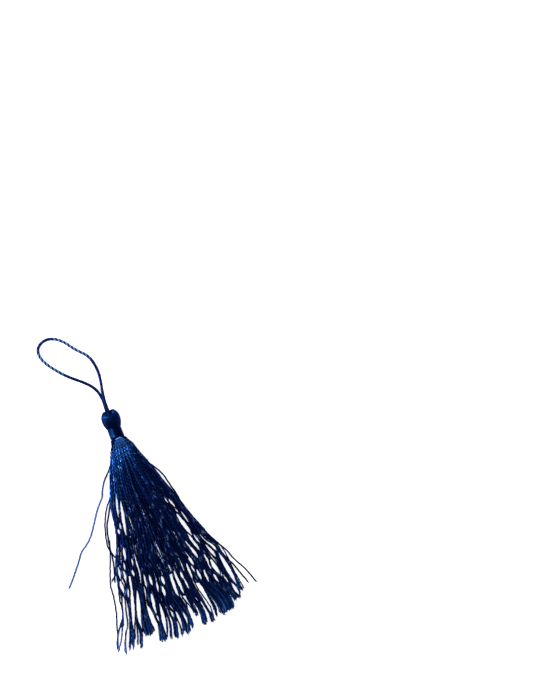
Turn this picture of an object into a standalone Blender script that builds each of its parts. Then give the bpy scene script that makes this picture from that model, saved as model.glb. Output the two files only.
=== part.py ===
"""A silky tassel that lies flat on a table.

Four pieces: the twisted hanging loop, the wound head, the binding round the neck, and the skirt, whose
locks of floss fan out over the table. Metres, +Z up. +Y runs along the tassel from the skirt to the loop,
and the origin is on the table, under the middle of the head.
"""

import math
import random
from collections import namedtuple

import bmesh
import bpy
from mathutils import Matrix, Vector

MM = 0.001

# Head: a bulb turned about its own axis, with a dimple where the loop goes in.
AXIS_HEIGHT = 3.30 * MM
HEAD_MIDDLE = -0.20 * MM
HEAD_TURN = math.radians(-1.5)
HEAD_SIDES = 36
HEAD_FLUTE = 0.018
ProfileRow = namedtuple("ProfileRow", "along radius")
HEAD_PROFILE = (
    ProfileRow(1.5, 1.58),
    ProfileRow(2.4, 1.60),
    ProfileRow(3.1, 1.68),
    ProfileRow(3.45, 1.95),
    ProfileRow(3.1, 2.28),
    ProfileRow(2.4, 2.85),
    ProfileRow(1.5, 3.34),
    ProfileRow(0.5, 3.58),
    ProfileRow(-0.7, 3.57),
    ProfileRow(-1.9, 3.36),
    ProfileRow(-2.9, 3.02),
    ProfileRow(-3.5, 2.62),
)

# Neck: one thread wound closely round the top of the skirt.
NECK_TOP = -3.95 * MM
NECK_END = -8.0 * MM
NECK_MIDDLE = -0.38 * MM
NECK_RADIUS = 2.80 * MM
NECK_TAPER = 0.05 * MM
NECK_BORE = 2.35 * MM
NECK_TURNS = 10
NECK_RIDGE = 0.09 * MM
NECK_SIDES = 26

# Loop: a cord of two plies, out of the dimple and back into it.
CORD_RADIUS = 0.575 * MM
CORD_WAIST = 0.36 * MM
CORD_LAY = 3.5 * MM
CORD_STEPS_PER_TURN = 6
CORD_SIDES = 8
RoutePoint = namedtuple("RoutePoint", "across along height")
LOOP_ROUTE = (
    RoutePoint(0.22, 2.0, 3.85),
    RoutePoint(0.16, 4.2, 3.85),
    RoutePoint(0.20, 7.2, 3.70),
    RoutePoint(0.50, 10.0, 3.25),
    RoutePoint(0.95, 12.6, 2.60),
    RoutePoint(1.50, 16.0, 1.60),
    RoutePoint(1.60, 20.1, 0.80),
    RoutePoint(0.80, 24.3, 0.60),
    RoutePoint(-0.60, 26.9, 0.60),
    RoutePoint(-2.60, 29.1, 0.60),
    RoutePoint(-4.50, 31.4, 0.60),
    RoutePoint(-6.40, 34.0, 0.60),
    RoutePoint(-8.50, 36.1, 0.60),
    RoutePoint(-10.90, 37.4, 0.60),
    RoutePoint(-13.30, 37.7, 0.60),
    RoutePoint(-15.50, 37.0, 0.60),
    RoutePoint(-17.10, 35.5, 0.60),
    RoutePoint(-17.60, 33.2, 0.60),
    RoutePoint(-17.00, 30.6, 0.60),
    RoutePoint(-15.50, 27.9, 0.60),
    RoutePoint(-13.60, 25.3, 0.60),
    RoutePoint(-11.40, 22.7, 0.60),
    RoutePoint(-8.60, 20.0, 0.65),
    RoutePoint(-5.70, 17.5, 0.80),
    RoutePoint(-3.20, 15.0, 1.15),
    RoutePoint(-1.60, 12.6, 1.65),
    RoutePoint(-0.75, 10.2, 2.15),
    RoutePoint(-0.42, 7.2, 2.50),
    RoutePoint(-0.60, 4.2, 2.75),
    RoutePoint(-0.54, 2.0, 2.75),
)

# Skirt: rows of locks, each row a layer of the fan. Its root swells out from under the binding.
LOCK_ROWS = 8
LOCK_COLUMNS = 24
ROOT_FLUTE = 0.05
# The root's section goes from round, where rounding is 0.29, to nearly square.
RootRow = namedtuple("RootRow", "along middle half_width half_height height rounding")
ROOT_PROFILE = (
    RootRow(-4.1, -0.38, 1.98, 1.98, 3.30, 0.29),
    RootRow(-8.1, -0.38, 2.00, 2.00, 3.30, 0.29),
    RootRow(-8.7, -0.30, 2.90, 2.42, 3.25, 0.27),
    RootRow(-10.0, -0.15, 3.60, 2.40, 2.95, 0.22),
    RootRow(-12.0, -0.17, 4.62, 2.05, 2.40, 0.16),
)
SKIRT_TOP = -8.0
ROOT_DOWN = 4
# How far down the skirt, and how far its left and right edges lie from the tassel's axis.
EdgeRow = namedtuple("EdgeRow", "down left right")
SKIRT_EDGES = (
    EdgeRow(ROOT_DOWN, -4.8, 4.5),
    EdgeRow(12, -8.4, 7.0),
    EdgeRow(22, -12.0, 10.4),
    EdgeRow(32, -14.1, 14.0),
    EdgeRow(42, -18.6, 17.2),
    EdgeRow(54, -23.0, 21.6),
    EdgeRow(66, -26.6, 23.6),
    EdgeRow(82, -31.8, 24.9),
)
# Every lock bends at the same places down the skirt, so neighbours keep their order between them.
FAN_STATIONS = (14, 24, 34, 45, 56, 67, 82)
LAYER_RISE = 0.36
SETTLE_LENGTH = 28
TOP_LAYER_SPREAD = 0.72
LAYER_NARROWING = 2.2
LOCK_WIDTH_ROOT = 0.36
LOCK_WIDTH_HEM = 0.54
LOCK_FULL_DOWN = 50
LOCK_WIDEST_SHARE = 0.72
LOCK_THICKNESS = 0.27
TIP_FLARE = 1.2
# Where a lock leaves its cell of the root: its lower side's two ends, and its top.
CELL_SIDE = 0.25
CELL_FOOT = 0.22
CELL_TOP = 0.80
# Waves that open and close the gaps of a layer: how many across it, how many down it, how strongly,
# and how far each layer's wave runs ahead of the one under it.
GapWave = namedtuple("GapWave", "across down strength ahead")
GAP_WAVES = (
    GapWave(3.3, 0.9, 0.75, 0.01),
    GapWave(7.1, -1.7, 1.00, 0.03),
    GapWave(11.4, 2.3, 0.70, 0.08),
)
GAP_UNEVENNESS = 0.9
GAPS_OPEN_FROM = 6
GAPS_OPEN_LENGTH = 40
# The hem: full length, the short right corner, and a notch near the left one.
HEM_DOWN = 80.5
HEM_RIGHT_FROM = 0.70
HEM_RIGHT_RISE = 7.5
HEM_NOTCH_AT = 0.26
HEM_NOTCH_WIDTH = 0.05
HEM_NOTCH_RISE = 3.0
HEM_RAGGED = 5.0
UNDERSIDE_SHORTER = 2.5
UNDERSIDE_LAYERS = 3
SHORTEST_SEGMENT = 2.0
# Locks that leave the fan: a loop comes back to it, a flare doesn't.
Stray = namedtuple("Stray", "row column kind leaves returns reach ends")
STRAYS = (
    Stray(0, 0, "flare", 8, 56, -22.3, 48),
    Stray(0, 1, "loop", 18, 50, -5.5, 79),
    Stray(0, LOCK_COLUMNS - 1, "loop", 13, 34, 1.9, 73),
    Stray(0, LOCK_COLUMNS - 1, "flare", 50, 82, 7.4, 73),
    Stray(0, LOCK_COLUMNS - 2, "flare", 50, 82, 4.4, 71),
)

FLOSS_BLUE = (0.008, 0.030, 0.165, 1.0)
HEAD_BLUE = (0.005, 0.020, 0.110, 1.0)
CORD_BLUE = (0.010, 0.045, 0.200, 1.0)


def clear_scene():
    for obj in list(bpy.data.objects):
        bpy.data.objects.remove(obj, do_unlink=True)


def satin(name, colour, roughness):
    made = bpy.data.materials.new(name)
    made.use_nodes = True
    shader = made.node_tree.nodes["Principled BSDF"]
    shader.inputs["Base Color"].default_value = colour
    shader.inputs["Roughness"].default_value = roughness
    shader.inputs["Metallic"].default_value = 0.0
    return made


def add_piece(name, shape, finish):
    """The closed shape as an object of its own, facing out."""
    bmesh.ops.recalc_face_normals(shape, faces=shape.faces)
    mesh = bpy.data.meshes.new(name)
    shape.to_mesh(mesh)
    shape.free()
    mesh.materials.append(finish)
    piece = bpy.data.objects.new(name, mesh)
    bpy.context.scene.collection.objects.link(piece)
    return piece


def smoothstep(share):
    share = min(max(share, 0.0), 1.0)
    return share * share * (3 - 2 * share)


def mix(start, end, share):
    return start + (end - start) * share


def add_ring(shape, points):
    return [shape.verts.new(point) for point in points]


def join_rings(shape, first, second):
    for i in range(len(first)):
        after = (i + 1) % len(first)
        shape.faces.new((first[i], first[after], second[after], second[i]))


# ---------------------------------------------------------------- head


def head_ring(row):
    """One ring round the head's axis: fluted by its lengthwise threads, and pressed flat on the table."""
    ring = []
    for side in range(HEAD_SIDES):
        angle = math.tau * side / HEAD_SIDES
        flute = 1 + HEAD_FLUTE * (side % 2 - 0.5)
        radius = row.radius * MM * flute
        height = AXIS_HEIGHT - radius * math.cos(angle)
        across = HEAD_MIDDLE + radius * math.sin(angle)
        ring.append(Vector((across, row.along * MM, max(height, 0.0))))
    return ring


def build_head():
    shape = bmesh.new()
    rings = [add_ring(shape, head_ring(row)) for row in HEAD_PROFILE]
    for first, second in zip(rings, rings[1:]):
        join_rings(shape, first, second)
    shape.faces.new(rings[0])
    shape.faces.new(rings[-1])
    turn = Matrix.Rotation(HEAD_TURN, 3, "Z")
    bmesh.ops.rotate(shape, verts=shape.verts, cent=(0, 0, 0), matrix=turn)
    return add_piece("head", shape, satin("head_satin", HEAD_BLUE, 0.34))


# ---------------------------------------------------------------- neck


def neck_ring(radius, along):
    ring = []
    for side in range(NECK_SIDES):
        angle = math.tau * side / NECK_SIDES
        across = NECK_MIDDLE + radius * math.sin(angle)
        ring.append(Vector((across, along, AXIS_HEIGHT - radius * math.cos(angle))))
    return ring


def build_neck():
    """The wound thread as a sleeve, one ridge for each turn of it."""
    shape = bmesh.new()
    outline = []
    for half_turn in range(2 * NECK_TURNS + 1):
        share = half_turn / (2 * NECK_TURNS)
        radius = NECK_RADIUS - NECK_TAPER * (1 - share) - NECK_RIDGE * (half_turn % 2 == 0)
        outline.append((radius, mix(NECK_TOP, NECK_END, share)))
    outline.append((NECK_BORE, NECK_END))
    outline.append((NECK_BORE, NECK_TOP))
    rings = [add_ring(shape, neck_ring(radius, along)) for radius, along in outline]
    for first, second in zip(rings, rings[1:] + rings[:1]):
        join_rings(shape, first, second)
    return add_piece("neck_binding", shape, satin("binding_satin", HEAD_BLUE, 0.38))


# ---------------------------------------------------------------- loop


def catmull_rom(before, start, end, after, share):
    """A point between start and end on the smooth curve through all four."""
    return 0.5 * (
        2 * start
        + (end - before) * share
        + (2 * before - 5 * start + 4 * end - after) * share**2
        + (3 * start - before - 3 * end + after) * share**3
    )


def smooth_route(route, samples=12):
    """The curve through the route's points, as closely spaced points."""
    points = [Vector((p.across, p.along, p.height)) * MM for p in route]
    points = [2 * points[0] - points[1], *points, 2 * points[-1] - points[-2]]
    curve = []
    for i in range(1, len(points) - 2):
        for sample in range(samples):
            curve.append(catmull_rom(*points[i - 1 : i + 3], sample / samples))
    curve.append(points[-2])
    return curve


def even_points(curve, count):
    """Points at even distances along the curve, and its length."""
    reached = [0.0]
    for first, second in zip(curve, curve[1:]):
        reached.append(reached[-1] + (second - first).length)
    even = []
    span = 0
    for i in range(count):
        target = reached[-1] * i / (count - 1)
        while span < len(curve) - 2 and reached[span + 1] < target:
            span += 1
        share = (target - reached[span]) / (reached[span + 1] - reached[span])
        even.append(curve[span].lerp(curve[span + 1], share))
    return even, reached[-1]


def cord_ring(centre, side, up, turn):
    """The outline of two plies laid together, at one point of their twist."""
    ring = []
    for i in range(CORD_SIDES):
        angle = math.tau * i / CORD_SIDES
        radius = mix(CORD_WAIST, CORD_RADIUS, abs(math.cos(angle)))
        direction = math.cos(angle + turn) * side + math.sin(angle + turn) * up
        ring.append(centre + radius * direction)
    return ring


def build_loop():
    curve = smooth_route(LOOP_ROUTE)
    length = even_points(curve, 2)[1]
    steps = round(length / CORD_LAY * CORD_STEPS_PER_TURN)
    centres, _ = even_points(curve, steps + 1)
    shape = bmesh.new()
    rings = []
    for i, centre in enumerate(centres):
        ahead = (centres[min(i + 1, steps)] - centres[max(i - 1, 0)]).normalized()
        side = ahead.cross(Vector((0, 0, 1))).normalized()
        up = side.cross(ahead)
        turn = -math.tau * i / CORD_STEPS_PER_TURN
        rings.append(add_ring(shape, cord_ring(centre, side, up, turn)))
    for first, second in zip(rings, rings[1:]):
        join_rings(shape, first, second)
    shape.faces.new(rings[0])
    shape.faces.new(rings[-1])
    return add_piece("loop_cord", shape, satin("cord_floss", CORD_BLUE, 0.36))


# ---------------------------------------------------------------- skirt


def edges_at(down):
    """The skirt's left and right edge, this far down it."""
    for first, second in zip(SKIRT_EDGES, SKIRT_EDGES[1:]):
        if down <= second.down:
            break
    share = (down - first.down) / (second.down - first.down)
    return mix(first.left, second.left, share), mix(first.right, second.right, share)


def root_point(section, u, v):
    """A point of the root's section, whose u and v run from -1 to 1."""
    across = section.middle + section.half_width * u * (1 - section.rounding * v * v)
    height = section.height + section.half_height * v * (1 - section.rounding * u * u)
    return Vector((across, section.along, height)) * MM


def grid_share(index, count):
    return 2 * index / count - 1


def rim_steps():
    """The grid points round the edge of the root's section, in order."""
    columns, rows = LOCK_COLUMNS, LOCK_ROWS
    bottom = [(column, 0) for column in range(columns)]
    right = [(columns, row) for row in range(rows)]
    top = [(column, rows) for column in range(columns, 0, -1)]
    left = [(0, row) for row in range(rows, 0, -1)]
    return bottom + right + top + left


def root_rim(section, flute):
    """One ring of the root, fluted by the threads that run down it."""
    centre = Vector((section.middle, section.along, section.height)) * MM
    ring = []
    for i, (column, row) in enumerate(rim_steps()):
        point = root_point(section, grid_share(column, LOCK_COLUMNS), grid_share(row, LOCK_ROWS))
        ring.append(centre + (point - centre) * (1 - flute * (i % 2)))
    return ring


def layer_width(row, down):
    """How wide a layer of the fan is: all of the skirt on the table, less on top."""
    left, right = edges_at(down)
    spread = 1 - (1 - TOP_LAYER_SPREAD) * (row / (LOCK_ROWS - 1)) ** LAYER_NARROWING
    return (right - left) * spread


def lock_width(row, down):
    full = mix(LOCK_WIDTH_ROOT, LOCK_WIDTH_HEM, smoothstep(down / LOCK_FULL_DOWN))
    return min(full, LOCK_WIDEST_SHARE * layer_width(row, down) / LOCK_COLUMNS)


def gap_weight(row, place, down, chance):
    """How much of a layer's free width falls in the gap at this share of the skirt's width."""
    strength = smoothstep((down - GAPS_OPEN_FROM) / GAPS_OPEN_LENGTH)
    wave = 0.0
    for part in GAP_WAVES:
        phase = part.across * place + part.down * down / HEM_DOWN + part.ahead * row
        wave += part.strength * math.sin(math.tau * phase)
    return math.exp(strength * wave + GAP_UNEVENNESS * (chance.random() - 0.5))


def stray_shift(row, column, down):
    shift = 0.0
    for stray in STRAYS:
        if (stray.row, stray.column) != (row, column):
            continue
        share = min(max((down - stray.leaves) / (stray.returns - stray.leaves), 0.0), 1.0)
        shift += stray.reach * (share if stray.kind == "flare" else math.sin(math.pi * share) ** 2)
    return shift


def across_at(row, down, chance):
    """Where the locks of a layer lie across the fan. Its gaps share what the locks leave free."""
    left, right = edges_at(down)
    width = layer_width(row, down)
    room = lock_width(row, down) * TIP_FLARE
    weights = []
    for gap in range(LOCK_COLUMNS + 1):
        place = 0.5 + (gap / LOCK_COLUMNS - 0.5) * width / (right - left)
        weights.append(gap_weight(row, place, down, chance))
    free = (width - LOCK_COLUMNS * room) / sum(weights)
    reached = (left + right - width) / 2
    places = []
    for column in range(LOCK_COLUMNS):
        reached += free * weights[column]
        places.append(reached + room / 2 + stray_shift(row, column, down))
        reached += room
    return places


def height_at(row, down, root_height):
    """A lock's underside sinks from its place in the root to its place in the pile."""
    return mix(root_height, LAYER_RISE * row, smoothstep((down - ROOT_DOWN) / SETTLE_LENGTH))


def hem_down(row, column, chance):
    """How far down a lock reaches."""
    for stray in STRAYS:
        if (stray.row, stray.column) == (row, column):
            return stray.ends
    place = (column + 0.5) / LOCK_COLUMNS
    corner = max(0.0, (place - HEM_RIGHT_FROM) / (1 - HEM_RIGHT_FROM)) ** 1.5
    notch = math.exp(-(((place - HEM_NOTCH_AT) / HEM_NOTCH_WIDTH) ** 2))
    under = UNDERSIDE_SHORTER * max(0.0, 1 - row / UNDERSIDE_LAYERS)
    ragged = HEM_RAGGED * chance.random() ** 2
    return HEM_DOWN - HEM_RIGHT_RISE * corner - HEM_NOTCH_RISE * notch - under - ragged


def add_cell(shape, corners):
    """A cell of the root's lower end, whose middle is left open as a triangle for its lock."""
    low_left, low_right, high_right, high_left = (corner.co for corner in corners)

    def in_cell(across, up):
        return low_left.lerp(low_right, across).lerp(high_left.lerp(high_right, across), up)

    foot = (in_cell(CELL_SIDE, CELL_FOOT), in_cell(1 - CELL_SIDE, CELL_FOOT))
    ring = add_ring(shape, (*foot, in_cell(0.5, CELL_TOP)))
    shape.faces.new((corners[0], corners[1], ring[1], ring[0]))
    shape.faces.new((corners[1], corners[2], ring[2], ring[1]))
    shape.faces.new((corners[2], corners[3], ring[2]))
    shape.faces.new((corners[3], corners[0], ring[0], ring[2]))
    return ring


def add_lock(shape, ring, route, widths):
    """A three-sided lock with its flat side down, drawn out of a cell along its route."""
    before = (ring[0].co + ring[1].co) / 2
    for middle, width in zip(route, widths):
        lean = math.atan2(middle.x - before.x, before.y - middle.y)
        half = Vector((math.cos(lean), math.sin(lean), 0)) * (width / 2)
        top = Vector((0, 0, LOCK_THICKNESS * MM))
        after = add_ring(shape, (middle - half, middle + half, middle + top))
        join_rings(shape, ring, after)
        ring = after
        before = middle
    shape.faces.new(ring)


def grow_lock(shape, ring, row, column, fan, chance):
    """The lock of one cell, bent where its layer's fan says, down to its own tip."""
    root_height = ring[0].co.z / MM
    down_to = hem_down(row, column, chance)
    bends = []
    for down, places in zip(FAN_STATIONS, fan):
        bends.append(Vector((places[column], SKIRT_TOP - down, height_at(row, down, root_height))))
    kept = [i for i, down in enumerate(FAN_STATIONS) if down < down_to - SHORTEST_SEGMENT]
    last = kept[-1]
    share = (down_to - FAN_STATIONS[last]) / (FAN_STATIONS[last + 1] - FAN_STATIONS[last])
    route = [bends[i] * MM for i in kept] + [bends[last].lerp(bends[last + 1], share) * MM]
    widths = [lock_width(row, FAN_STATIONS[i]) * MM for i in kept]
    widths.append(lock_width(row, down_to) * TIP_FLARE * MM)
    add_lock(shape, ring, route, widths)


def build_skirt():
    shape = bmesh.new()
    rings = [add_ring(shape, root_rim(section, ROOT_FLUTE)) for section in ROOT_PROFILE[:-1]]
    rings.append(add_ring(shape, root_rim(ROOT_PROFILE[-1], 0)))
    for first, second in zip(rings, rings[1:]):
        join_rings(shape, first, second)
    shape.faces.new(rings[0])

    grid = dict(zip(rim_steps(), rings[-1]))
    for row in range(1, LOCK_ROWS):
        for column in range(1, LOCK_COLUMNS):
            u, v = grid_share(column, LOCK_COLUMNS), grid_share(row, LOCK_ROWS)
            grid[column, row] = shape.verts.new(root_point(ROOT_PROFILE[-1], u, v))

    chance = random.Random(4)
    for row in range(LOCK_ROWS):
        fan = [across_at(row, down, chance) for down in FAN_STATIONS]
        for column in range(LOCK_COLUMNS):
            right, above = column + 1, row + 1
            corners = (grid[column, row], grid[right, row], grid[right, above], grid[column, above])
            ring = add_cell(shape, corners)
            grow_lock(shape, ring, row, column, fan, chance)
    return add_piece("skirt", shape, satin("skirt_floss", FLOSS_BLUE, 0.36))


def main():
    clear_scene()
    build_loop()
    build_head()
    build_neck()
    build_skirt()


main()
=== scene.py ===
"""The looks of a silky tassel that lies on a pale table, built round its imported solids.

Metres, +Z up. +Y runs along the tassel from the skirt to the loop, and the origin is on the table, under
the middle of the head. "Down" is the distance below the neck, towards the hem. Tables are in millimetres.
"""

import math
from collections import namedtuple

import bpy
import numpy as np
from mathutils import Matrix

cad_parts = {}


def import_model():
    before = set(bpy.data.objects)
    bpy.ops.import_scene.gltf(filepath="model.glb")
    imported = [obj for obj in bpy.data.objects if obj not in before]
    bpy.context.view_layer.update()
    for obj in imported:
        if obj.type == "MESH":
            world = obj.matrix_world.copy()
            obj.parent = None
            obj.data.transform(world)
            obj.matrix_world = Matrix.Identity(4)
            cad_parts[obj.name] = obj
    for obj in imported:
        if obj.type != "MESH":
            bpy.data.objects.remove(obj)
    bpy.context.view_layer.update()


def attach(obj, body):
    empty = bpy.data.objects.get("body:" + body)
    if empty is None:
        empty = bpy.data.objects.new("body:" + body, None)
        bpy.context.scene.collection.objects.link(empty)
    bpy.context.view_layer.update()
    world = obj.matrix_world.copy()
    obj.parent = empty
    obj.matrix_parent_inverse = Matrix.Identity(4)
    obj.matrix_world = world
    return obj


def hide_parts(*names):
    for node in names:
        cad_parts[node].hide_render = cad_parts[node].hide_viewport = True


MM = 0.001
UP = np.array((0.0, 0.0, 1.0))

# What recurs in the tables: a rise from 0 to 1, a bell that falls off on both sides, and a slow wander.
Ease = namedtuple("Ease", "start length")
Bell = namedtuple("Bell", "middle width")
Wander = namedtuple("Wander", "length size")

# Each piece has its own random draws.
LOOP_SEED = 3
HEAD_SEED = 5
NECK_SEED = 9
STRAYS_SEED = 11
SKIRT_SEED = 29

# How many points a route gets between two of its own, before they are spaced evenly.
ROUTE_SAMPLES = 16
# A wander is the mean of this many waves, each of a length within these shares of its own.
WAVES = 2
WAVE_LENGTH_SHARES = (0.75, 1.35)
# Painted shade: a groove in a thread is darker by this, times the share of the thread's width that it cuts
# away.
GROOVE_PAINTED_SHADE = 1.0
# How narrow the painted glint along a thread's top is.
PAINTED_GLINT_POWER = 3

# ---------------------------------------------------------------- head

AXIS_HEIGHT = 3.30
HEAD_MIDDLE = -0.08
HEAD_TURN = math.radians(-1.5)
ProfileRow = namedtuple("ProfileRow", "along radius")
HEAD_PROFILE = (
    ProfileRow(1.5, 1.45),
    ProfileRow(2.4, 1.50),
    ProfileRow(3.1, 1.64),
    ProfileRow(3.45, 1.95),
    ProfileRow(3.1, 2.36),
    ProfileRow(2.4, 2.95),
    ProfileRow(1.5, 3.43),
    ProfileRow(0.5, 3.66),
    ProfileRow(-0.7, 3.66),
    ProfileRow(-1.9, 3.47),
    ProfileRow(-2.9, 3.12),
    ProfileRow(-3.6, 2.86),
    ProfileRow(-3.95, 2.50),
)
HEAD_THREADS = 56
HEAD_STEPS_PER_THREAD = 6
HEAD_STEP = 0.22
# A thread's round crown, which is full where the head is wide, and how far the threads differ in height.
HEAD_THREAD_RELIEF = 0.085
FULL_RELIEF_RADIUS = 3.0
LEAST_RELIEF_SHARE = 0.4
CROWN_HALF_WIDTH = 0.96
CROWN_LEVEL = 0.8
HEAD_THREAD_PROUD = 0.035
# How the threads sway, in radians, along the head and round it.
Sway = namedtuple("Sway", "size along around")
HEAD_SWAYS = (
    Sway(0.05, 0.9, 3),
    Sway(0.03, 1.7, 7),
)
# The rim of the dimple dips on its upper side, where the loop comes out over it.
DIP = Ease(0.9, 2.2)
DIP_DEPTH = 1.7
DIP_SINK_SHARE = 0.35
DIP_LEAN = math.radians(-19)
DIP_POWER = 6

HEAD_TONE = 0.26
HEAD_TONE_SPREAD = 0.05
HEAD_RIPPLE_TONE = 0.05
HEAD_RIPPLE_RATE = 3
# Painted highlights, where the satin is lighter on the head's upper side as the key light catches it.
PaintedHighlight = namedtuple("PaintedHighlight", "across along wide tall tone")
HEAD_PAINTED_HIGHLIGHTS = (
    PaintedHighlight(-2.5, 1.4, 1.1, 0.70, 0.20),
    PaintedHighlight(-1.2, 1.8, 0.7, 0.50, 0.22),
    PaintedHighlight(0.0, 2.2, 0.40, 0.55, 0.45),
    PaintedHighlight(0.7, 2.8, 0.35, 0.45, 0.35),
    PaintedHighlight(2.0, 2.2, 0.8, 0.60, 0.30),
    PaintedHighlight(-2.4, -0.3, 0.8, 1.20, 0.22),
)

# ---------------------------------------------------------------- neck

NECK_MIDDLE = -0.26
NECK_TOP = -3.72
NECK_END = -8.0
NECK_RADIUS = 2.88
NECK_TAPER = 0.06
BINDING_RADIUS = 0.225
BINDING_TURNS = 10.5
BINDING_STEPS_PER_TURN = 56
BINDING_SIDES = 8
BINDING_SKEW = 0.45
# The thread's own lobes, and its twist from end to end, in radians.
BINDING_LOBES = 4
BINDING_LOBE_DEPTH = 0.12
BINDING_TWIST = 40
# Both its ends are tucked in by this, within this part of a turn.
BINDING_TUCK = 0.5
BINDING_TUCKING = Ease(0, 0.3)
# How it wanders, over shares of its length.
BINDING_RADIUS_WANDER = Wander(0.13, 0.03)
BINDING_ALONG_WANDER = Wander(0.11, 0.03)
BINDING_TONE_WANDER = Wander(0.06, 0.08)
# Painted light and shade: it is lighter on the left, where the key light falls, and painted shade darkens
# it towards the right.
BINDING_LIT_TONE = 0.62
BINDING_PAINTED_SHADE = 0.42
BINDING_PAINTED_SHADING = Ease(-1.4, 1.9)

# ---------------------------------------------------------------- loop

CORD_LAY = 3.5
CORD_STEP = 0.25
# Each ply is flattened against the other.
PLY_OFFSET = 0.27
PLY_HALF_DEPTH = 0.37
PLY_HALF_WIDTH = 0.58
PLY_LIFT = 0.05
PLY_LOBES = 6
PLY_SIDES_PER_LOBE = 4
PLY_LOBE_DEPTH = 0.12
PLY_LOBE_LAY = 2.3
# Painted light and shade: only the crest of a ply is light, where the cosine round it passes this, and
# painted shade darkens the rest, between the plies, to the tone below.
PLY_LIT_CREST = Ease(0.60, 0.30)
PLY_GROOVE_PAINTED_SHADE = 0.18
RoutePoint = namedtuple("RoutePoint", "across along height")
LOOP_ROUTE = (
    RoutePoint(0.22, 2.0, 3.85),
    RoutePoint(0.16, 4.2, 3.85),
    RoutePoint(0.20, 7.2, 3.70),
    RoutePoint(0.50, 10.0, 3.25),
    RoutePoint(0.95, 12.6, 2.60),
    RoutePoint(1.50, 16.0, 1.60),
    RoutePoint(1.60, 20.1, 0.80),
    RoutePoint(0.80, 24.3, 0.60),
    RoutePoint(-0.60, 26.9, 0.60),
    RoutePoint(-2.60, 29.1, 0.60),
    RoutePoint(-4.50, 31.4, 0.60),
    RoutePoint(-6.40, 34.0, 0.60),
    RoutePoint(-8.50, 36.1, 0.60),
    RoutePoint(-10.90, 37.4, 0.60),
    RoutePoint(-13.30, 37.7, 0.60),
    RoutePoint(-15.50, 37.0, 0.60),
    RoutePoint(-17.10, 35.5, 0.60),
    RoutePoint(-17.60, 33.2, 0.60),
    RoutePoint(-17.00, 30.6, 0.60),
    RoutePoint(-15.50, 27.9, 0.60),
    RoutePoint(-13.60, 25.3, 0.60),
    RoutePoint(-11.40, 22.7, 0.60),
    RoutePoint(-8.60, 20.0, 0.65),
    RoutePoint(-5.70, 17.5, 0.80),
    RoutePoint(-3.20, 15.0, 1.15),
    RoutePoint(-1.60, 12.6, 1.65),
    RoutePoint(-0.75, 10.2, 2.15),
    RoutePoint(-0.42, 7.2, 2.50),
    RoutePoint(-0.60, 4.2, 2.75),
    RoutePoint(-0.54, 2.0, 2.75),
)
# Painted light along the cord: how light it is, this far along it, lightest on the stretches that run along
# the key light's direction, darker on the legs and the far bend.
LoopLightRow = namedtuple("LoopLightRow", "reached tone")
LOOP_PAINTED_LIGHT = (
    LoopLightRow(0, 0.20),
    LoopLightRow(14, 0.22),
    LoopLightRow(22, 0.45),
    LoopLightRow(27, 0.85),
    LoopLightRow(38, 0.85),
    LoopLightRow(42, 0.45),
    LoopLightRow(48, 0.45),
    LoopLightRow(51, 0.85),
    LoopLightRow(59, 0.85),
    LoopLightRow(64, 0.50),
    LoopLightRow(72, 0.25),
    LoopLightRow(78, 0.26),
    LoopLightRow(82, 0.36),
    LoopLightRow(88, 0.36),
)
LOOP_TONE_WANDERS = (Wander(11, 0.06), Wander(3, 0.06))

# ---------------------------------------------------------------- skirt

SKIRT_TOP = -8.0
# The bundle under the binding: its section is round where rounding is 0.29, and squarer lower down.
RootRow = namedtuple("RootRow", "down middle half_width half_height height rounding")
ROOT_PROFILE = (
    RootRow(-1.0, -0.26, 1.95, 1.95, 3.30, 0.29),
    RootRow(-0.3, -0.26, 2.10, 2.15, 3.30, 0.29),
    RootRow(0.15, -0.26, 2.85, 2.60, 3.28, 0.28),
    RootRow(2.0, -0.05, 3.60, 2.55, 2.95, 0.22),
    RootRow(4.0, -0.07, 4.80, 2.10, 2.40, 0.16),
)
# Every second thread lies this share of half a layer higher in the bundle, and the others lower.
ROOT_SWING = 0.9
# How far the fan reaches to each side, this far down.
EdgeRow = namedtuple("EdgeRow", "down left right")
SKIRT_EDGES = (
    EdgeRow(8, -6.6, 5.7),
    EdgeRow(12, -8.4, 7.2),
    EdgeRow(22, -12.0, 10.4),
    EdgeRow(32, -14.3, 14.0),
    EdgeRow(37, -15.6, 15.8),
    EdgeRow(42, -17.4, 17.2),
    EdgeRow(48, -19.5, 18.9),
    EdgeRow(51, -20.0, 20.4),
    EdgeRow(54, -20.6, 21.6),
    EdgeRow(66, -24.2, 23.1),
    EdgeRow(82, -31.4, 24.9),
)
# From the table up: how many threads a layer has, and how much of the fan's width it covers.
LayerRow = namedtuple("LayerRow", "threads spread")
LAYERS = (
    LayerRow(40, 1.0),
    LayerRow(40, 1.0),
    LayerRow(40, 0.99),
    LayerRow(40, 0.97),
    LayerRow(38, 0.93),
    LayerRow(24, 0.95),
    LayerRow(20, 0.86),
    LayerRow(15, 0.76),
)
# The layers from this one up are of plied threads, whose two plies part towards the hem.
PLIED_FROM = 5
PLIES = 2
PLIED_HALF_WIDTH = 0.43
PLIED_SHARE_AT_ROOT = 0.62
PLIED_FILLING = Ease(0, 6)
PLIED_FLATNESS = 0.80
PLIED_GROOVE = 0.42
PLIED_OPENING = Ease(0, 60)
PLIED_LAY = 3.0
PLIED_STEP = 0.27
PLIED_SIDES = 8
# The other layers' threads are plain, and flatter at the root.
THREAD_HALF_WIDTH_AT_ROOT = 0.30
THREAD_HALF_WIDTH_AT_HEM = 0.34
THREAD_FLATNESS_AT_ROOT = 0.58
THREAD_FLATNESS_AT_HEM = 0.76
THREAD_FILLING = Ease(0, 45)
THREAD_LAY = 2.4
THREAD_STEP = 0.44
THREAD_SIDES = 4
# Each layer's threads lie this much of their spacing aside of those of the layer under it, give or take.
STAGGER = 0.382
JITTER = 0.35
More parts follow.
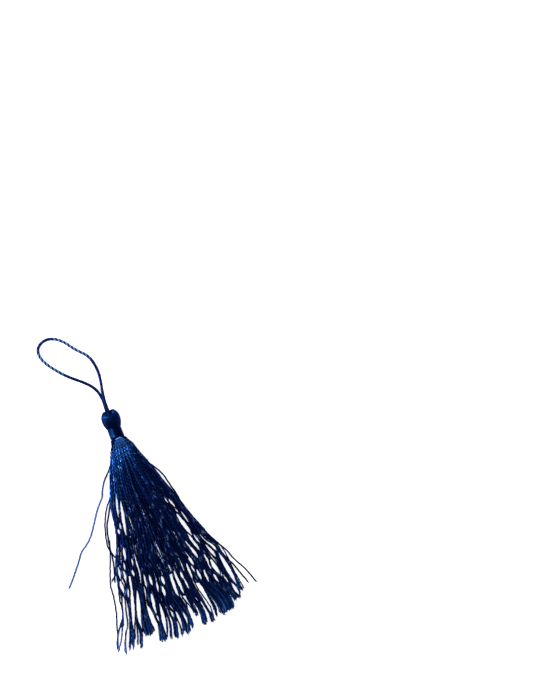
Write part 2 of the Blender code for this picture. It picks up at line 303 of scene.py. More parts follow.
# From the root on, the layers come down until they lie on each other on the table.
LAYER_RISE = 0.36
SETTLING = Ease(4, 28)
# The threads come loose from each other and wander on their own, as a whole and in a fine crinkle.
LOOSENING = Ease(3, 22)
ACROSS_WANDER = Wander(15, 0.11)
HEIGHT_WANDER = Wander(16, 0.25)
CRINKLING = Ease(1, 8)
CRINKLE_SIZE = 0.085
CRINKLE_SHARE_ACROSS = 0.7
CRINKLE_ACROSS = Wander(3.1, 1.0)
CRINKLE_UP = Wander(2.7, 1.0)

# Every thread has one of these tones of its own, with this likelihood.
OWN_TONES = (0.14, 0.23, 0.32, 0.42)
OWN_TONE_LIKELIHOODS = (0.27, 0.36, 0.28, 0.09)
BRIGHTEST = 0.96
# Painted light and shade: the upper layers are bright at the root, where the floss swells out into the key
# light, in a wedge that widens downwards, and painted shade makes them darker beside it.
LIT_LAYERS = Ease(1, 4)
ROOT_LIGHT_TONES = (0.48, 0.82)
ROOT_PLACE = Bell(0.48, 0.38)
ROOT_SWELL = Bell(2, 8)
ROOT_TOP = Bell(0, 3.5)
ROOT_TOP_SHARE = 0.42
WEDGE_MIDDLE = 0.3
WEDGE_HALF_WIDTH = 0.9
WEDGE_WIDENING = 0.9
WEDGE_EDGE = Ease(0, 0.6)
BESIDE_PAINTED_SHADE = 0.20
# The plies' crossings at the root show as beads of painted highlight.
BEAD_HIGHLIGHT_TONE = 0.25
BEAD_LENGTH = 1.05
BEADS = Bell(0, 5)
# Painted light: some threads are lighter in the upper part of the fan, and on its left, towards the key
# light.
UPPER_PAINTED_LIGHT = 0.42
UPPER_PART = Bell(17, 13)
STREAK_PAINTED_LIGHT = 0.10
STREAK_PLACE = Bell(0.36, 0.36)
STREAK_PART = Bell(0, 26)
# Painted glints: short brighter stretches along each thread, which are paler lower down.
GLINT_TONE = 0.34
GLINT_WANDER = Wander(6.5, 1.0)
GLINT_CREST = Ease(0.55, 0.40)
GLINT_PALE = 0.85
PALING = Ease(18, 16)
# Painted light: the cut ends are lighter, where their splayed fibres catch the light, from this far above
# them.
TIP_PAINTED_LIGHT = 0.12
TIP_SPREAD = 0.20
TIP = Ease(-12, 12)

# How a cut end opens into its fibres, which start at the thread's third point from its end, this far
# beside its middle, and curve out and up.
FRAY_FIBRES = 4
FRAY_STEPS = 4
FRAY_SIDES = 4
FRAY_HALF_WIDTH = 0.13
FRAY_FLATNESS = 0.8
FRAY_LENGTHS = (0.6, 1.5)
FRAY_FROM = -3
FRAY_START = 0.18
FRAY_OUT = 0.16
FRAY_LIFTS = (-0.02, 0.10)
FRAY_CURVE = 1.5

# How neighbouring threads wander together: the waves' lengths across and down the fan, and their size,
# where the fan is this wide.
EVEN_WIDTH = 46
DriftWave = namedtuple("DriftWave", "across down size start")
DRIFT = (
    DriftWave(13.0, 41.0, 0.50, 0.15),
    DriftWave(6.1, -23.0, 0.26, 0.62),
    DriftWave(3.4, 14.0, 0.12, 0.35),
)
# How they gather into locks, as waves across each third of the layers.
LOCKS = (
    DriftWave(2.3, 61.0, 0.26, 0.1),
    DriftWave(1.9, -44.0, 0.22, 0.5),
    DriftWave(2.7, 83.0, 0.28, 0.8),
)
LOCKING = Ease(42, 24)

# Where the floss gathers at the hem: each tuft's place across, its half width, and how far down it ends.
Tuft = namedtuple("Tuft", "across half_width ends")
TUFTS = (
    Tuft(-29.9, 0.55, 77.9),
    Tuft(-27.6, 0.4, 79.9),
    Tuft(-25.6, 0.4, 79.1),
    Tuft(-24.0, 0.55, 78.8),
    Tuft(-21.7, 0.3, 78.0),
    Tuft(-20.8, 0.4, 79.6),
    Tuft(-16.5, 1.7, 76.4),
    Tuft(-13.9, 0.3, 75.6),
    Tuft(-11.8, 1.8, 80.2),
    Tuft(-8.5, 0.4, 80.1),
    Tuft(-6.6, 0.8, 80.8),
    Tuft(-4.2, 0.6, 80.6),
    Tuft(-1.8, 1.0, 80.8),
    Tuft(0.6, 0.8, 79.5),
    Tuft(3.7, 0.8, 75.5),
    Tuft(5.6, 1.1, 80.2),
    Tuft(8.6, 0.8, 80.2),
    Tuft(11.0, 0.6, 78.3),
    Tuft(14.2, 1.9, 78.6),
    Tuft(17.3, 1.35, 78.1),
    Tuft(20.8, 1.8, 75.2),
    Tuft(23.4, 1.1, 73.2),
)
GATHERING = Ease(62, 14)
LEAN_LIMIT = 0.4
# A tuft's end is rounded by this much, and its threads are shorter by up to this much.
TUFT_ROUNDING = 0.7
TUFT_RAGGEDNESS = 2.4

# Lens-shaped openings in the floss, each from one end to the other, with its width in the middle.
Parting = namedtuple("Parting", "from_across from_down to_across to_down width")
PARTINGS = (
    Parting(-8.8, 20.8, -11.3, 29.4, 0.9),
    Parting(-8.1, 23.2, -11.0, 35.7, 1.1),
    Parting(8.4, 28.4, 8.9, 30.6, 0.4),
    Parting(9.5, 29.0, 11.0, 33.2, 0.8),
    Parting(10.8, 33.7, 11.1, 35.4, 0.5),
    Parting(10.4, 35.4, 13.0, 45.7, 1.6),
    Parting(12.3, 35.6, 13.7, 41.0, 0.3),
    Parting(-15.2, 39.2, -16.3, 44.8, 1.2),
    Parting(-13.9, 40.7, -14.4, 45.3, 0.9),
    Parting(11.6, 44.4, 13.8, 52.4, 1.0),
    Parting(-10.3, 44.5, -12.3, 55.7, 0.7),
    Parting(-12.2, 45.4, -12.7, 48.9, 0.4),
    Parting(13.6, 45.4, 14.9, 49.7, 0.6),
    Parting(-18.2, 46.5, -19.0, 51.6, 0.8),
    Parting(10.0, 46.7, 10.3, 49.0, 0.4),
    Parting(10.7, 48.8, 12.1, 54.6, 1.0),
    Parting(-13.6, 49.6, -13.6, 52.5, 0.7),
    Parting(0.3, 52.0, 0.6, 56.4, 0.3),
    Parting(2.7, 52.1, 3.0, 56.0, 0.3),
    Parting(-19.8, 52.6, -19.6, 56.9, 1.2),
    Parting(-14.9, 53.1, -20.9, 71.0, 1.7),
    Parting(-9.8, 53.1, -10.9, 58.4, 0.6),
    Parting(8.5, 53.3, 9.5, 56.2, 0.5),
    Parting(-8.2, 54.6, -8.5, 58.1, 0.6),
    Parting(6.8, 55.6, 7.2, 60.8, 0.6),
    Parting(-3.9, 56.3, -3.8, 59.6, 0.9),
    Parting(8.4, 56.4, 9.1, 59.4, 0.6),
    Parting(1.2, 56.7, 2.1, 65.3, 1.0),
    Parting(-0.7, 57.0, -0.4, 65.3, 0.9),
    Parting(3.7, 57.1, 3.9, 60.3, 0.8),
    Parting(16.2, 57.3, 17.8, 63.3, 1.4),
    Parting(-14.6, 58.0, -18.2, 70.6, 1.4),
    Parting(-20.8, 58.5, -23.6, 70.0, 1.0),
    Parting(9.9, 58.6, 10.5, 62.8, 0.9),
    Parting(20.4, 56.0, 22.4, 69.3, 1.5),
    Parting(-5.0, 60.0, -4.8, 63.6, 1.0),
    Parting(4.4, 60.5, 4.4, 64.6, 0.5),
    Parting(-9.6, 61.5, -11.1, 68.5, 1.0),
    Parting(15.6, 62.5, 16.0, 66.0, 0.7),
    Parting(9.2, 64.5, 9.1, 75.5, 1.6),
    Parting(-12.5, 66.1, -13.5, 74.0, 1.2),
    Parting(-8.1, 66.5, -10.0, 77.8, 1.4),
    Parting(2.3, 67.0, 1.6, 78.2, 1.0),
    Parting(5.5, 68.2, 5.7, 71.1, 0.6),
    Parting(21.1, 68.8, 21.6, 73.4, 1.0),
    Parting(-10.9, 69.3, -10.8, 72.5, 0.6),
    Parting(-5.2, 69.5, -5.0, 72.8, 0.8),
    Parting(-3.6, 70.8, -3.0, 78.3, 0.8),
    Parting(-23.4, 71.0, -26.4, 78.0, 0.8),
    Parting(-0.9, 72.3, -0.6, 76.6, 0.7),
    Parting(12.2, 60.0, 12.9, 64.5, 0.5),
    Parting(18.4, 50.5, 19.6, 54.5, 0.8),
    Parting(17.0, 51.0, 18.6, 56.6, 0.9),
    Parting(14.6, 54.5, 15.4, 60.0, 0.9),
    Parting(18.9, 64.0, 19.6, 68.0, 0.4),
    Parting(-6.6, 58.0, -6.8, 61.0, 0.4),
    Parting(-16.8, 49.0, -17.2, 52.6, 0.6),
    Parting(-11.4, 30.8, -12.1, 33.5, 0.5),
    Parting(-13.1, 33.1, -13.1, 35.2, 0.8),
    Parting(-15.6, 46.0, -16.2, 49.0, 0.5),
    Parting(-17.0, 45.8, -17.6, 48.2, 0.5),
    Parting(-17.5, 55.9, -18.9, 59.6, 0.5),
    Parting(-19.9, 60.5, -21.9, 67.6, 0.7),
    Parting(-21.6, 56.0, -24.6, 66.5, 1.0),
    Parting(-26.0, 69.5, -28.6, 75.5, 1.0),
)
# The threads' middles keep this far from an opening's edge, and those beside it make way too.
PARTING_ROOM = 0.30
PARTING_REACH = 1.2
# The threads part from a little before the opening to a little past it, in a lens of this bluntness.
PARTING_EASE = 0.09
PARTING_BLUNTNESS = 0.8
# This share of the threads runs across an opening all the same.
CROSSING_SHARE = 0.03

# Threads that have left the fan.
Stray = namedtuple("Stray", "half_width tone pale route")
STRAYS = (
    Stray(
        0.42,
        0.50,
        0.36,
        (
            RoutePoint(-3.6, -12.0, 2.6),
            RoutePoint(-6.0, -15.6, 1.6),
            RoutePoint(-8.1, -18.4, 0.9),
            RoutePoint(-11.4, -21.7, 0.4),
            RoutePoint(-13.7, -25.4, 0.3),
            RoutePoint(-14.4, -27.2, 0.3),
            RoutePoint(-18.0, -31.3, 0.3),
            RoutePoint(-23.7, -39.5, 0.3),
            RoutePoint(-26.9, -42.5, 0.3),
            RoutePoint(-28.1, -43.3, 0.3),
            RoutePoint(-29.9, -44.7, 0.3),
            RoutePoint(-32.3, -47.9, 0.3),
            RoutePoint(-36.3, -52.7, 0.3),
            RoutePoint(-39.1, -55.8, 0.3),
        ),
    ),
    Stray(
        0.36,
        0.20,
        0.0,
        (
            RoutePoint(-6.6, -20.0, 0.9),
            RoutePoint(-9.0, -24.6, 0.4),
            RoutePoint(-11.7, -28.7, 0.3),
            RoutePoint(-14.7, -32.5, 0.3),
            RoutePoint(-17.3, -37.8, 0.3),
            RoutePoint(-18.9, -43.4, 0.3),
            RoutePoint(-19.3, -46.6, 0.3),
            RoutePoint(-18.5, -49.9, 0.3),
            RoutePoint(-17.2, -53.5, 0.5),
            RoutePoint(-17.6, -58.5, 0.5),
        ),
    ),
    Stray(
        0.36,
        0.15,
        0.0,
        (
            RoutePoint(-7.6, -23.0, 0.7),
            RoutePoint(-10.4, -28.2, 0.4),
            RoutePoint(-12.6, -31.2, 0.3),
            RoutePoint(-14.5, -34.7, 0.3),
            RoutePoint(-16.8, -38.9, 0.3),
            RoutePoint(-18.5, -45.7, 0.3),
            RoutePoint(-19.0, -50.1, 0.3),
            RoutePoint(-19.8, -54.0, 0.3),
            RoutePoint(-21.6, -60.0, 0.4),
        ),
    ),
    Stray(
        0.36,
        0.25,
        0.0,
        (
            RoutePoint(-14.2, -42.5, 0.7),
            RoutePoint(-16.3, -48.2, 0.5),
            RoutePoint(-18.1, -52.3, 0.4),
            RoutePoint(-19.1, -54.7, 0.4),
            RoutePoint(-20.5, -57.4, 0.4),
            RoutePoint(-22.5, -59.2, 0.4),
        ),
    ),
    Stray(
        0.36,
        0.15,
        0.0,
        (
            RoutePoint(-17.8, -44.0, 0.4),
            RoutePoint(-19.6, -49.5, 0.3),
            RoutePoint(-21.7, -54.9, 0.3),
            RoutePoint(-23.7, -60.4, 0.3),
            RoutePoint(-24.0, -63.2, 0.3),
            RoutePoint(-24.4, -66.4, 0.3),
            RoutePoint(-25.5, -71.6, 0.3),
            RoutePoint(-27.1, -76.4, 0.3),
            RoutePoint(-28.2, -80.2, 0.3),
        ),
    ),
    Stray(
        0.36,
        0.15,
        0.0,
        (
            RoutePoint(-18.4, -52.5, 0.5),
            RoutePoint(-20.2, -58.8, 0.3),
            RoutePoint(-21.4, -63.4, 0.3),
            RoutePoint(-22.4, -67.2, 0.3),
            RoutePoint(-22.9, -71.5, 0.3),
            RoutePoint(-24.6, -77.0, 0.4),
        ),
    ),
    Stray(
        0.34,
        0.25,
        0.3,
        (
            RoutePoint(-14.6, -58.5, 0.7),
            RoutePoint(-15.5, -63.0, 0.4),
            RoutePoint(-16.8, -68.5, 0.3),
            RoutePoint(-18.4, -74.0, 0.3),
            RoutePoint(-20.6, -79.0, 0.4),
            RoutePoint(-22.0, -83.0, 0.5),
        ),
    ),
    Stray(
        0.36,
        0.25,
        0.0,
        (
            RoutePoint(6.4, -20.2, 1.0),
            RoutePoint(8.6, -23.1, 0.5),
            RoutePoint(10.8, -27.2, 0.3),
            RoutePoint(12.1, -32.4, 0.3),
            RoutePoint(13.3, -37.6, 0.4),
            RoutePoint(13.1, -42.0, 0.6),
        ),
    ),
    Stray(
        0.36,
        0.15,
        0.0,
        (
            RoutePoint(19.4, -57.5, 0.6),
            RoutePoint(21.9, -65.4, 0.4),
            RoutePoint(24.1, -70.4, 0.3),
            RoutePoint(25.3, -74.0, 0.3),
            RoutePoint(26.8, -78.3, 0.4),
        ),
    ),
    Stray(
        0.36,
        0.15,
        0.0,
        (
            RoutePoint(17.6, -54.0, 0.6),
            RoutePoint(20.2, -58.2, 0.5),
            RoutePoint(22.1, -61.6, 0.4),
            RoutePoint(23.5, -64.0, 0.3),
            RoutePoint(25.0, -68.2, 0.3),
            RoutePoint(27.6, -73.2, 0.3),
            RoutePoint(29.8, -79.3, 0.3),
        ),
    ),
)

# A stray starts as dark as the floss that it leaves, and takes on its own tone and painted glint from
# there.
STRAY_TONE_AT_ROOT = 0.22
STRAY_LIGHTING = Ease(6, 16)
STRAY_TONE_WANDER = Wander(12, 0.06)

# ---------------------------------------------------------------- materials

# Dyed rayon, from its darkest tone to its brightest. Here and in the satin and cord below, the brighter
# tones are reached where light is painted in.
FLOSS_COLOURS = (
    (0.15, (0.0015, 0.0040, 0.031)),
    (0.40, (0.0024, 0.0105, 0.078)),
    (0.70, (0.0085, 0.0580, 0.260)),
    (1.00, (0.0800, 0.3300, 0.960)),
)
SATIN_COLOURS = (
    (0.15, (0.0004, 0.0036, 0.020)),
    (0.50, (0.0006, 0.0100, 0.055)),
    (1.00, (0.0090, 0.0700, 0.250)),
)
CORD_COLOURS = (
    (0.15, (0.0010, 0.0030, 0.022)),
    (0.50, (0.0040, 0.0200, 0.120)),
    (1.00, (0.2200, 0.4200, 0.780)),
)
# The colour of the painted glints.
PAINTED_GLINT_COLOUR = (0.19, 0.25, 0.42)
# What is reflected at a glancing angle takes this tint.
EDGE_TINT = (0.15, 0.40, 1.0)
SATIN_EDGE_TINT = (0.03, 0.25, 0.8)
# The fibres' gloss mostly takes on their own colour.
METALLIC = 0.8
# The fibres' grain: its detail, how far it raises the tone, and its relief.
GRAIN_DETAIL = 3
GRAIN_TONE = 0.25
GRAIN_RELIEF = 0.05
# Grain is how fine it is, in cells to the metre, and stretch makes it coarser along an axis.
Finish = namedtuple("Finish", "colours gloss edge_tint roughness grain stretch bump")
FINISHES = {
    "cord_floss": Finish(CORD_COLOURS, 0.30, EDGE_TINT, 0.36, 4000, (1, 1, 1), 0.5),
    "head_floss": Finish(SATIN_COLOURS, 0.08, SATIN_EDGE_TINT, 0.36, 3000, (1, 0.2, 1), 0.4),
    "binding_thread": Finish(SATIN_COLOURS, 0.08, SATIN_EDGE_TINT, 0.36, 3000, (0.3, 1, 0.3), 0.4),
    "skirt_floss": Finish(FLOSS_COLOURS, 0.22, EDGE_TINT, 0.42, 3000, (1, 0.2, 1), 0.5),
}

# ---------------------------------------------------------------- floor, light and camera

TABLE_REACH = 3000
TABLE_DROP = 0.02
TABLE_COLOUR = (0.86, 0.86, 0.86, 1)
TABLE_ROUGHNESS = 0.9
TABLE_GLOW = 0.85
WHITE = (1, 1, 1, 1)
SKY_STRENGTH = 0.20
# The lamps, in metres and watts, face the tassel's middle. Azimuth is from the picture's top, to the right.
LAMPS_FACE = np.array((0, -0.025, 0))
LampRow = namedtuple("LampRow", "name azimuth elevation distance size power")
LAMPS = (
    LampRow("key", -66, 34, 0.6, 0.20, 7.0),
    LampRow("fill", 60, 70, 0.8, 0.6, 1.2),
)
# The height that the picture shows, its middle in the tassel's frame, and how it is turned there.
PICTURE_HEIGHT = 267.9
PICTURE_MIDDLE = (66.85, 5.66)
PICTURE_TURN = math.radians(-21)
LENS = 100
SENSOR = 36
# Nothing nearer or farther than this is seen.
NEAREST = 10
FARTHEST = 10000


# ---------------------------------------------------------------- helpers


def smoothstep(share):
    share = np.clip(share, 0.0, 1.0)
    return share * share * (3 - 2 * share)


def eased(at, ease):
    return smoothstep((at - ease.start) / ease.length)


def bell(at, shape):
    return np.exp(-(((at - shape.middle) / shape.width) ** 2))


def mix(start, end, share):
    return start + (end - start) * share


def unit(vectors):
    return vectors / np.linalg.norm(vectors, axis=-1, keepdims=True)


def smooth_values(stops, values, at):
    """The values at these places on a smooth curve through the stops, which never overshoots them."""
    stops = np.asarray(stops, float)
    values = np.asarray(values, float)
    steps = np.diff(stops)
    rises = np.diff(values) / steps
    slopes = np.concatenate(([rises[0]], np.zeros(len(rises) - 1), [rises[-1]]))
    same_way = rises[:-1] * rises[1:] > 0
    both = rises[:-1] + rises[1:]
    inner = slopes[1:-1]
    inner[same_way] = 2 * rises[:-1][same_way] * rises[1:][same_way] / both[same_way]
    span = np.clip(np.searchsorted(stops, at) - 1, 0, len(steps) - 1)
    share = np.clip((at - stops[span]) / steps[span], 0.0, 1.0)
    leaving = share * (1 - share) ** 2 * steps[span] * slopes[span]
    arriving = share**2 * (share - 1) * steps[span] * slopes[span + 1]
    return mix(values[span], values[span + 1], smoothstep(share)) + leaving + arriving


def smooth_route(route, step):
    """Evenly spaced points on the smooth (Catmull-Rom) curve through a route's points, and its length."""
    points = np.array(route, float)
    points = np.vstack((2 * points[0] - points[1], points, 2 * points[-1] - points[-2]))
    share = np.linspace(0, 1, ROUTE_SAMPLES, endpoint=False)[:, None]
    spans = []
    for before, start, end, after in zip(points, points[1:], points[2:], points[3:]):
        linear = (end - before) * share
        square = (2 * before - 5 * start + 4 * end - after) * share**2
        cube = (3 * start - before - 3 * end + after) * share**3
        spans.append(0.5 * (2 * start + linear + square + cube))
    curve = np.vstack((*spans, points[-2]))
    reached = np.concatenate(([0.0], np.cumsum(np.linalg.norm(np.diff(curve, axis=0), axis=1))))
    at = np.linspace(0, reached[-1], int(round(reached[-1] / step)) + 1)
    even = np.stack([np.interp(at, reached, curve[:, axis]) for axis in range(3)], axis=1)
    return even, reached[-1]


def frame_along(path):
    """Each point's direction, and the two directions across it: level, and upwards."""
    ahead = unit(np.gradient(path, axis=0))
    side = unit(np.cross(ahead, UP))
    return ahead, side, np.cross(side, ahead)


def wave(chance, at, wander):
    """A slow wander of about this length and size."""
    found = 0
    for _ in range(WAVES):
        own = wander.length * chance.uniform(*WAVE_LENGTH_SHARES)
        found = found + np.sin(math.tau * (at / own + chance.random()))
    return wander.size * found / WAVES


class Bundle:
    """Tubes of one kind of thread, in millimetres, gathered into one mesh.

    Each point has a tone, from dark to bright, which holds painted light and shade, and a share of painted
    glint.
    """

    def __init__(self):
        self.points = []
        self.faces = []
        self.tones = []
        self.painted_glints = []
        self.count = 0

    def add_rings(self, rings, tone, pale=0.0):
        """One closed tube, from rings of points as an array (rings, sides, 3)."""
        length, sides = rings.shape[:2]
        corner = self.count + np.arange(length * sides).reshape(length, sides)
        after = np.roll(corner, -1, axis=1)
        quads = np.stack((corner[:-1], after[:-1], after[1:], corner[1:]), axis=-1)
        self.faces.extend(quads.reshape(-1, 4).tolist())
        self.faces.append(corner[0][::-1].tolist())
        self.faces.append(corner[-1].tolist())
        self.points.append(rings.reshape(-1, 3))
        self.tones.append(np.broadcast_to(tone, (length, sides)).reshape(-1))
        self.painted_glints.append(np.broadcast_to(pale, (length, sides)).reshape(-1))
        self.count += length * sides

    def add_tube(self, path, wide, thin, turns, sides, tone, lobes=0, depth=0.0, spin=0.0, pale=0.0):
        """A thread along a path. Its oval section turns as it goes, and may have lobes that spin round it.

        The tone is for each point of the path, or for each of its rings' points; grooves darken it with
        painted shade. The painted glint lies along the thread's top.
        """
        _, side, up = frame_along(path)
        angles = math.tau * (np.arange(sides) + 0.5) / sides
        flat = (np.cos(turns)[:, None] * side + np.sin(turns)[:, None] * up)[:, None, :]
        edge = (np.cos(turns)[:, None] * up - np.sin(turns)[:, None] * side)[:, None, :]
        around = angles + np.broadcast_to(spin, len(path))[:, None]
        groove = np.broadcast_to(depth, len(path))[:, None] * np.sin(around * lobes / 2) ** 2
        wide = np.broadcast_to(wide, len(path))[:, None] * (1 - groove) * np.cos(angles)
        thin = np.broadcast_to(thin, len(path))[:, None] * (1 - groove) * np.sin(angles)
        rings = path[:, None, :] + wide[:, :, None] * flat + thin[:, :, None] * edge
        tone = np.asarray(tone, float)
        tone = tone.reshape(len(tone) if tone.ndim else 1, -1)
        raised = np.clip((rings[:, :, 2] - path[:, None, 2]) / wide.max(), 0, 1)
        # Painted shade in the grooves, and the painted glint along the top.
        self.add_rings(rings, tone - GROOVE_PAINTED_SHADE * groove, np.reshape(pale, (-1, 1)) * raised**PAINTED_GLINT_POWER)

    def stand_for(self, node, name, slot, finishes):
        """Makes the piece, which goes where the node goes, takes its place and has the slot's finish."""
        mesh = bpy.data.meshes.new(name)
        mesh.from_pydata((np.concatenate(self.points) * MM).tolist(), [], self.faces)
        mesh.shade_smooth()
        for label, values in (("tone", self.tones), ("pale", self.painted_glints)):
            shades = mesh.attributes.new(label, "FLOAT", "POINT")
            shades.data.foreach_set("value", np.concatenate(values).astype(np.float32))
        mesh.materials.append(finishes[slot])
        mesh.update()
        piece = bpy.data.objects.new(name, mesh)
        bpy.context.scene.collection.objects.link(piece)
        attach(piece, "root")
        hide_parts(node)
        return piece


def make_finish(name):
    """Its colour runs from dark to bright with the tone, over a fine grain of fibres."""
    row = FINISHES[name]
    made = bpy.data.materials.new(name)
    made.use_nodes = True
    nodes = made.node_tree.nodes
    links = made.node_tree.links
    shader = nodes["Principled BSDF"]
    tone = nodes.new("ShaderNodeAttribute")
    tone.attribute_name = "tone"
    place = nodes.new("ShaderNodeTexCoord")
    stretch = nodes.new("ShaderNodeMapping")
    stretch.inputs["Scale"].default_value = row.stretch
    fibres = nodes.new("ShaderNodeTexNoise")
    fibres.inputs["Scale"].default_value = row.grain
    fibres.inputs["Detail"].default_value = GRAIN_DETAIL
    uneven = nodes.new("ShaderNodeMath")
    uneven.operation = "MULTIPLY_ADD"
    uneven.inputs[1].default_value = GRAIN_TONE
    ramp = nodes.new("ShaderNodeValToRGB")
    while len(ramp.color_ramp.elements) < len(row.colours):
        ramp.color_ramp.elements.new(0.5)
    for element, (share, colour) in zip(ramp.color_ramp.elements, row.colours):
        element.position = share
        element.color = (*colour, 1)
    relief = nodes.new("ShaderNodeBump")
    relief.inputs["Strength"].default_value = row.bump
    relief.inputs["Distance"].default_value = GRAIN_RELIEF * MM
    links.new(place.outputs["Object"], stretch.inputs["Vector"])
    links.new(stretch.outputs["Vector"], fibres.inputs["Vector"])
    links.new(fibres.outputs["Fac"], uneven.inputs[0])
    links.new(tone.outputs["Fac"], uneven.inputs[2])
    links.new(uneven.outputs["Value"], ramp.inputs["Fac"])
    # The painted glints mix in their own colour.
    glint = nodes.new("ShaderNodeAttribute")
    glint.attribute_name = "pale"
    lit = nodes.new("ShaderNodeMixRGB")
    lit.inputs["Color2"].default_value = (*PAINTED_GLINT_COLOUR, 1)
    links.new(glint.outputs["Fac"], lit.inputs["Fac"])
    links.new(ramp.outputs["Color"], lit.inputs["Color1"])
    links.new(lit.outputs["Color"], shader.inputs["Base Color"])
    links.new(fibres.outputs["Fac"], relief.inputs["Height"])
    links.new(relief.outputs["Normal"], shader.inputs["Normal"])
    shader.inputs["Roughness"].default_value = row.roughness
    shader.inputs["Metallic"].default_value = METALLIC
    shader.inputs["Specular IOR Level"].default_value = row.gloss
    shader.inputs["Specular Tint"].default_value = (*row.edge_tint, 1)
    return made


# ---------------------------------------------------------------- the loop, the head and the neck


def build_loop(finishes):
    """Two plies laid round each other."""
    centre, length = smooth_route(LOOP_ROUTE, CORD_STEP)
    reached = np.linspace(0, length, len(centre))
    _, side, up = frame_along(centre)
    sides = PLY_LOBES * PLY_SIDES_PER_LOBE
    lit_crest = eased(np.cos(math.tau * (np.arange(sides) + 0.5) / sides), PLY_LIT_CREST)
    spin = math.tau * reached / PLY_LOBE_LAY
    section = (PLY_HALF_DEPTH, PLY_HALF_WIDTH)
    chance = np.random.default_rng(LOOP_SEED)
    bundle = Bundle()
    for ply in range(2):
        angle = math.pi * ply - math.tau * reached / CORD_LAY
        around = np.cos(angle)[:, None] * side + np.sin(angle)[:, None] * up
        path = centre + PLY_OFFSET * around + PLY_LIFT * UP
        # Painted light, by how far along the cord it is.
        tone = smooth_values([row.reached for row in LOOP_PAINTED_LIGHT], [row.tone for row in LOOP_PAINTED_LIGHT], reached)
        for wander in LOOP_TONE_WANDERS:
            tone = tone + wave(chance, reached, wander)
        # Painted shade between the plies, and painted light on their crests.
        tone = mix(PLY_GROOVE_PAINTED_SHADE, tone[:, None], lit_crest)
        bundle.add_tube(path, *section, angle, sides, tone, PLY_LOBES, PLY_LOBE_DEPTH, spin)
    loop = bundle.stand_for("loop_cord", "loop_plies", "cord_floss", finishes)


def build_head(finishes):
    """A bulb of threads laid lengthwise, tucked into the dimple and under the binding."""
    outline = [(row.along, row.radius, 0.0) for row in HEAD_PROFILE]
    profile, _ = smooth_route(outline, HEAD_STEP)
    along = profile[:, 0][:, None]
    radius = profile[:, 1][:, None]
    chance = np.random.default_rng(HEAD_SEED)
    sides = HEAD_THREADS * HEAD_STEPS_PER_THREAD
    thread = np.arange(sides) // HEAD_STEPS_PER_THREAD
    across_thread = (np.arange(sides) % HEAD_STEPS_PER_THREAD + 0.5) / HEAD_STEPS_PER_THREAD * 2 - 1
    crown = np.sqrt(1 - (CROWN_HALF_WIDTH * across_thread) ** 2)
    fullness = np.clip(radius / FULL_RELIEF_RADIUS, LEAST_RELIEF_SHARE, 1.0)
    proud = chance.uniform(-HEAD_THREAD_PROUD, HEAD_THREAD_PROUD, HEAD_THREADS)[thread]
    reach = radius + (HEAD_THREAD_RELIEF * fullness * (crown - CROWN_LEVEL) + proud)

    angle = math.tau * np.arange(sides) / sides
    angle = angle + sum(row.size * np.sin(along * row.along + row.around * angle) for row in HEAD_SWAYS)
    upward = -np.cos(angle - DIP_LEAN)
    dip = DIP_DEPTH * eased(along, DIP) * np.clip(upward, 0, 1) ** DIP_POWER
    across = HEAD_MIDDLE + reach * np.sin(angle)
    forward = along - dip
    height = np.maximum(AXIS_HEIGHT - reach * np.cos(angle) - DIP_SINK_SHARE * dip, 0.0)
    turned_across = across * math.cos(HEAD_TURN) - forward * math.sin(HEAD_TURN)
    turned_along = across * math.sin(HEAD_TURN) + forward * math.cos(HEAD_TURN)

    tone = HEAD_TONE + chance.normal(0, HEAD_TONE_SPREAD, HEAD_THREADS)[thread]
    tone = tone + HEAD_RIPPLE_TONE * np.sin(HEAD_RIPPLE_RATE * along + thread)
    # Painted highlights, only on the head's upper side.
    for highlight in HEAD_PAINTED_HIGHLIGHTS:
        sideways = (turned_across - highlight.across) / highlight.wide
        lengthwise = (turned_along - highlight.along) / highlight.tall
        away = np.hypot(sideways, lengthwise)
        tone = tone + highlight.tone * np.exp(-(away**2)) * (height > AXIS_HEIGHT)
    bundle = Bundle()
    bundle.add_rings(np.stack((turned_across, turned_along, height), axis=-1), tone)
    bundle.stand_for("head", "head_threads", "head_floss", finishes)


def build_binding(finishes):
    """One thread, wound closely round the neck, with both its ends tucked in."""
    share = np.linspace(0, 1, int(BINDING_TURNS * BINDING_STEPS_PER_TURN) + 1)
    angle = math.tau * BINDING_TURNS * share
    to_end = np.minimum(share, 1 - share) * BINDING_TURNS
    tuck = BINDING_TUCK * (1 - eased(to_end, BINDING_TUCKING))
    chance = np.random.default_rng(NECK_SEED)
    radius = NECK_RADIUS - BINDING_RADIUS - NECK_TAPER * (1 - share) - tuck
    radius = radius + wave(chance, share, BINDING_RADIUS_WANDER)
    across = NECK_MIDDLE + radius * np.sin(angle)
    height = AXIS_HEIGHT - radius * np.cos(angle)
    skew = BINDING_SKEW * share**2 * np.clip(-np.cos(angle), 0, 1)
    along = mix(NECK_TOP, NECK_END + BINDING_RADIUS, share) + skew
    along = along + wave(chance, share, BINDING_ALONG_WANDER)
    path = np.stack((across, along, height), axis=1)
    # Painted light on the left, and painted shade towards the right.
    tone = BINDING_LIT_TONE - BINDING_PAINTED_SHADE * eased(across, BINDING_PAINTED_SHADING)
    tone = tone + wave(chance, share, BINDING_TONE_WANDER)
    section = (BINDING_RADIUS, BINDING_RADIUS)
    twist = BINDING_TWIST * share
    bundle = Bundle()
    bundle.add_tube(path, *section, twist, BINDING_SIDES, tone, BINDING_LOBES, BINDING_LOBE_DEPTH)
    bundle.stand_for("neck_binding", "neck_thread", "binding_thread", finishes)


# ---------------------------------------------------------------- the skirt


def drift(waves, across, down):
    shift = 0
    for row in waves:
        shift = shift + row.size * np.sin(math.tau * (across / row.across + down / row.down + row.start))
    return shift


